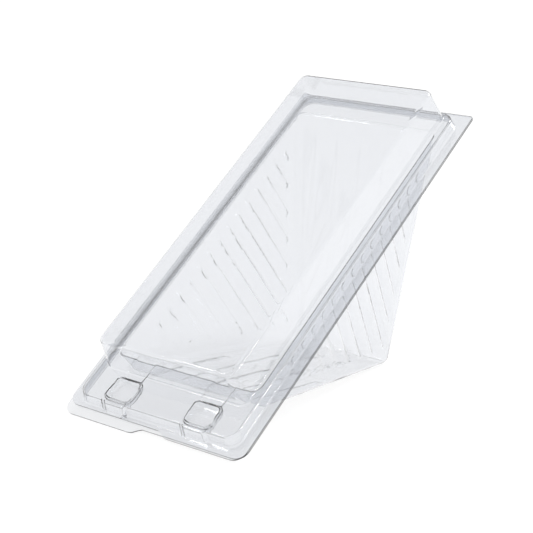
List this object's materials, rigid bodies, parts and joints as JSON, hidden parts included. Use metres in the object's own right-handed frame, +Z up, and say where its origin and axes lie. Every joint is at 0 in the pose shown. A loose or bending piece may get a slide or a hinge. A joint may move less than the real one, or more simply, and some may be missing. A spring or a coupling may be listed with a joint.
{
  "type": "sandwich wedge pack",
  "caption": "Clear hinged takeaway pack for a cut sandwich: a ribbed wedge-shaped tray with a raised rim and a shallow domed lid that folds over it.",
  "frame": {"origin": "centre of the bounding box at its bottom: the surface that the pack stands on", "axes": "+Z up, +Y from the opening edge towards the hinge, X across the pack"},
  "size_m": [0.0888, 0.159, 0.1183],
  "materials": {
    "clear_sheet_tray": "clear polished sheet",
    "clear_sheet_lid": "clear polished sheet"
  },
  "bodies": {
    "tray": {"tray": "clear_sheet_tray"},
    "lid": {"lid": "clear_sheet_lid"}
  },
  "joints": [
    {"name": "lid_hinge", "type": "hinge", "parent": "tray", "child": "lid", "pos_m": [0, 0.07939, 0.10641], "axis": [-1, 0, 0], "range_deg": [0, 180]}
  ]
}
